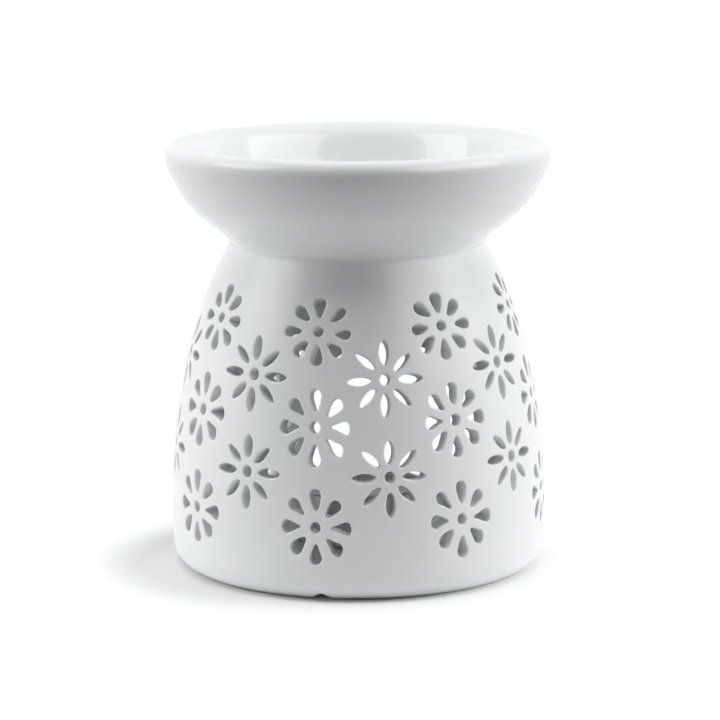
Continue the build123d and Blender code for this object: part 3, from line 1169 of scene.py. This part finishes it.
# %% [markdown]
# ## The glaze
#
# White glaze over a white body is slightly cool and never quite even. On the dish it lies thick
# and looks wet, and on the dome it is thinner and its gloss softer. Under a lamp it shows two kinds
# of ripple: long soft waves left by the hand that smoothed the clay, and a fine orange peel from
# the glaze itself. Both are a few hundredths of a millimetre high, so bumps are enough for them.
# The glaze was wiped off the foot so that the burner wouldn't stick to the kiln shelf, and there
# the dry body shows. A mould seam runs down the front and the back of the dome; it was fettled off,
# but a hint of it is left under the glaze.

# %% Mix the glaze
GLAZE_WHITE = (0.87, 0.895, 0.9)
GLAZE_THIN = (0.885, 0.9, 0.9)
BARE_BODY = (0.80, 0.76, 0.70)
CLOUD = 0.022  # this and the next lengths are in metres, as shaders have them
CLOUD_EDGES = (0.35, 0.7)
SMEAR = 0.006
SMEAR_ROUGHNESS = 0.06
WAVE = 0.014
WAVE_HEIGHT = 0.00006
PEEL = 0.0013
PEEL_HEIGHT = 0.000007
WIPED = (0.0006, 0.0009)  # bare up to the first height, glazed above the second
WIPED_RAGGED = 0.0006
BARE_ROUGHNESS = 0.6
SEAM_WIDTH = 0.00035
SEAM_RAGGED = 0.0002
SEAM_HEIGHT = 0.00005
SEAM_PATCH = 0.02


def mix_glaze(name, seam, dull):
    """A white glaze. seam says whether the piece has mould seams, dull how soft its gloss is."""
    mix = Recipe(name)
    place = mix.place()
    height = mix.node("ShaderNodeSeparateXYZ", {}, {0: place}, out="Z")
    across = height.beside("X").size()
    clouds = mix.noise(place, CLOUD, 3.0)
    color = mix.blend(clouds.clear_of(*CLOUD_EDGES), GLAZE_WHITE, GLAZE_THIN)
    bare = 1 - (height + WIPED_RAGGED * mix.noise(place, 0.003)).clear_of(*WIPED)
    color = mix.blend(bare, color, BARE_BODY)
    smears = mix.noise(place, SMEAR, 4.0)
    roughness = dull + SMEAR_ROUGHNESS * smears + BARE_ROUGHNESS * bare
    relief = WAVE_HEIGHT * mix.noise(place, WAVE, 1.0) + PEEL_HEIGHT * mix.noise(place, PEEL, 2.0)
    if seam:
        ridge = 1 - (across + SEAM_RAGGED * mix.noise(place, 0.004)).clear_of(0.0, SEAM_WIDTH)
        patches = mix.noise(place, SEAM_PATCH).clear_of(0.35, 0.6)
        relief = relief + SEAM_HEIGHT * ridge * patches
    return mix.surface(
        Base_Color=color, Roughness=roughness, Normal=mix.bump(relief, 1.0))


dome_glaze = mix_glaze("dome_glaze", seam=True, dull=0.28)
dish_glaze = mix_glaze("dish_glaze", seam=False, dull=0.03)
print("glazes", dome_glaze.name, dish_glaze.name)

# %% [markdown]
# ## Metal, wax and cotton
#
# The cup is bare aluminium, brushed round by the drawing die. Wax is milky: light goes in and comes
# out again near by, so it needs some subsurface, and its skin is mottled where it cooled unevenly.
# The cotton of the wick is stiff with wax. The tab that holds it is pressed steel.

# %% Mix the tealight's materials
WAX_CLEAR = (0.88, 0.87, 0.83)
WAX_MILKY = (0.93, 0.92, 0.89)
WAX_REACH = (0.004, 0.0035, 0.003)  # how far red, green and blue light go in it, in metres
COTTON_DARK = (0.78, 0.74, 0.64)
COTTON_LIGHT = (0.9, 0.88, 0.8)


def mix_metal(name, light, dark, roughness, grain, stretch):
    """Bare metal with stains, and scratches of that grain drawn out along stretch."""
    mix = Recipe(name)
    place = mix.place()
    scratches = mix.noise(place, grain, 4.0, stretch)
    stains = mix.noise(place, 0.006, 2.0)
    color = mix.blend(stains.clear_of(0.3, 0.75), light, dark)
    return mix.surface(
        Base_Color=color, Metallic=1.0, Roughness=roughness + 0.2 * scratches * stains,
        Normal=mix.bump(scratches, 0.00001))


def mix_wax():
    """Milky paraffin wax with a mottled skin."""
    mix = Recipe("paraffin")
    place = mix.place()
    mottle = mix.noise(place, 0.003, 4.0)
    color = mix.blend(mottle.clear_of(0.35, 0.7), WAX_CLEAR, WAX_MILKY)
    return mix.surface(
        Base_Color=color, Roughness=0.35 + 0.2 * mottle, Subsurface_Weight=0.35,
        Subsurface_Radius=WAX_REACH, Subsurface_Scale=1.0,
        Normal=mix.bump(mottle, 0.00008))


def mix_cotton():
    """Waxed cotton, with fibres along each strand."""
    mix = Recipe("waxed_cotton")
    place = mix.place()
    fibres = mix.noise(place, 0.00018, 3.0, (1.0, 1.0, 6.0))
    color = mix.blend(fibres.clear_of(0.3, 0.7), COTTON_DARK, COTTON_LIGHT)
    return mix.surface(
        Base_Color=color, Roughness=0.65 + 0.25 * fibres, Sheen_Weight=0.2,
        Normal=mix.bump(fibres, 0.00006))


aluminium = mix_metal(
    "aluminium", light=(0.86, 0.86, 0.87), dark=(0.74, 0.74, 0.75), roughness=0.25,
    grain=0.0004, stretch=(1, 1, 0.3))
steel = mix_metal(
    "tab_steel", light=(0.6, 0.6, 0.6), dark=(0.5, 0.49, 0.48), roughness=0.3,
    grain=0.0003, stretch=(5, 1, 1))
paraffin = mix_wax()
cotton = mix_cotton()
print("mixed", [material.name for material in (aluminium, steel, paraffin, cotton)])

# %% [markdown]
# ## Dressing the pieces
#
# Each mesh gets its one material. The tab that holds the wick is the only piece whose CAD shape is
# already right, sealed in the wax as it is, so it stays, and its slot takes the steel.

# %% Put the materials on
pieces = (burner, dish, cup, wax, wick)
for thing, material in zip(pieces, (dome_glaze, dish_glaze, aluminium, paraffin, cotton)):
    thing.data.materials.append(material)
for slot in frame["nodes"]["wick_sustainer"].material_slots:
    slot.material = steel
print("materials on", [thing.name for thing in pieces])

# %% [markdown]
# ## The stage
#
# The burner stands on a round sheet of white paper, with light from both sides and from above and
# nothing in front of it. White ceramic shows its form only by what it doesn't reflect: the sides
# shine and the front falls into a soft grey. The paper sends light up under the dish and onto the
# foot. To the camera, and in reflections, everything round the stage is plain white, and the paper
# fades into that white a few centimetres from the foot, where the shadow ends.

# %% Lay the paper
PAPER_RADIUS = 0.24  # metres, as everything on the stage
PAPER_SIDES = 96
PAPER_COLOR = (0.9, 0.9, 0.9, 1.0)
PLAIN_WHITE = {"Color": (1.0, 1.0, 1.0, 1.0), "Strength": 1.0}
SHADE_MIDDLE = (-0.009, -0.002, 0.0)
SHADE_FADE = (0.05, 0.068)  # paper up to the first distance, white beyond the second


def seen_directly(mix):
    """1 for rays from the camera and for those that glossy and clear things send out, else 0."""
    path = mix.node("ShaderNodeLightPath", out="Is Camera Ray")
    seen = path + path.beside("Is Glossy Ray") + path.beside("Is Transmission Ray")
    return seen.math("MINIMUM", seen, 1.0)


def lay_paper():
    """A round sheet under the burner that fades into white round it."""
    angles = np.linspace(0, 2 * math.pi, PAPER_SIDES, endpoint=False)
    points = [(PAPER_RADIUS * math.cos(a), PAPER_RADIUS * math.sin(a), 0.0) for a in angles]
    mesh = bpy.data.meshes.new("paper")
    mesh.from_pydata(points, [], [list(range(len(points)))])
    mix = Recipe("white_paper")
    distance = mix.node("ShaderNodeVectorMath", {"operation": "DISTANCE"}, {
        0: mix.place(), 1: SHADE_MIDDLE}, out="Value")
    faded = seen_directly(mix) * distance.clear_of(*SHADE_FADE)
    lit = mix.node("ShaderNodeBsdfDiffuse", {}, {"Color": PAPER_COLOR})
    white = mix.node("ShaderNodeEmission", {}, PLAIN_WHITE)
    both = mix.node("ShaderNodeMixShader", {}, {0: faded, 1: lit, 2: white})
    mix.node("ShaderNodeOutputMaterial", {}, {"Surface": both})
    mesh.materials.append(mix.owner)
    sheet = bpy.data.objects.new("paper", mesh)
    bpy.context.scene.collection.objects.link(sheet)
    sheet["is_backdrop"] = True


lay_paper()
print("paper", PAPER_RADIUS, "m round the burner")

# %% [markdown]
# ## White all round
#
# A white room could be built, but then its walls would light the clay and wash its greys out. Here
# only rays from the camera, and those that mirrored in glaze or went through something clear, see
# white. All others meet a nearly black world, so the lamps alone shade the burner.

# %% Whiten the surroundings
AMBIENT = 0.02  # share of the white that lights the clay all the same

scene = bpy.context.scene
scene.view_settings.view_transform = "Standard"
scene.world = bpy.data.worlds.new("surroundings")
around = Recipe("surroundings", scene.world)
white = around.node("ShaderNodeBackground", {}, PLAIN_WHITE)
dim = around.node("ShaderNodeBackground", {}, {**PLAIN_WHITE, "Strength": AMBIENT})
both = around.node("ShaderNodeMixShader", {}, {0: seen_directly(around), 1: dim, 2: white})
around.node("ShaderNodeOutputWorld", {}, {"Surface": both})
print("surroundings", scene.world.name, "and", AMBIENT, "of it on the clay")

# %% [markdown]
# ## The lamps
#
# Two kinds of lamp share the work. The softboxes are only seen in the glaze, where they draw the
# bright patches in the basin, and the washes only light the clay. In a studio one lamp does both.
# Split in two, the patches can be placed without changing how light or dark a side is. A lamp's
# size is given in degrees, as it looks from the burner, because that is what the glaze mirrors.

# %% Hang the lamps
SOFTBOXES = (  # name, azimuth from the camera, elevation, width and height in degrees, brightness
    ("right_softbox", 67.0, 40.0, 54.0, 40.0, 2.5),
    ("left_softbox", -79.0, 40.0, 34.0, 34.0, 2.7),
)
WASHES = (
    ("high_right_wash", 95.0, 58.0, 40.0, 26.0, 1.1),
    ("high_left_wash", -95.0, 58.0, 40.0, 26.0, 1.1),
    ("right_wash", 92.0, 20.0, 36.0, 36.0, 3.6),
    ("left_wash", -95.0, 20.0, 40.0, 36.0, 3.1),
    ("low_right_wash", 98.0, 8.0, 60.0, 14.0, 2.4),
    ("low_left_wash", -100.0, 8.0, 60.0, 14.0, 2.2),
    ("top_wash", 0.0, 80.0, 40.0, 30.0, 3.8),
)
LAMP_DISTANCE = 0.9


def hang_lamp(name, azimuth, elevation, width, height, brightness, mirrored):
    """An area lamp that looks that wide, high and bright from the burner.

    A mirrored lamp only shows in the glaze. The others only light the clay under it.
    """
    lamp = bpy.data.lights.new(name, "AREA")
    lamp.shape = "RECTANGLE"
    lamp.size = 2 * LAMP_DISTANCE * math.tan(math.radians(width / 2))
    lamp.size_y = 2 * LAMP_DISTANCE * math.tan(math.radians(height / 2))
    lamp.energy = brightness * math.pi * lamp.size * lamp.size_y
    hung = bpy.data.objects.new(name, lamp)
    hung.matrix_world = (
        turn("Z", CAMERA_AZIMUTH + azimuth) @ turn("X", 90 - elevation)
        @ Matrix.Translation((0, 0, LAMP_DISTANCE)))
    hung.visible_glossy = mirrored
    hung.visible_diffuse = not mirrored
    bpy.context.scene.collection.objects.link(hung)
    return hung


for mirrored, lamps in ((True, SOFTBOXES), (False, WASHES)):
    for settings in lamps:
        lamp = hang_lamp(*settings, mirrored)
        print(lamp.name, [round(value, 2) for value in lamp.matrix_world.translation], "m")

# %% [markdown]
# ## The sizes
#
# The finished model stands for the CAD model, so both boxes are written down side by side.

# %% Write the sizes and finish
bpy.context.view_layer.update()
visual_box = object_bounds()
for name, box in (("CAD", cad_box), ("visual", visual_box)):
    print(name, "box", [[round(value / MM, 2) for value in corner] for corner in box], "mm")
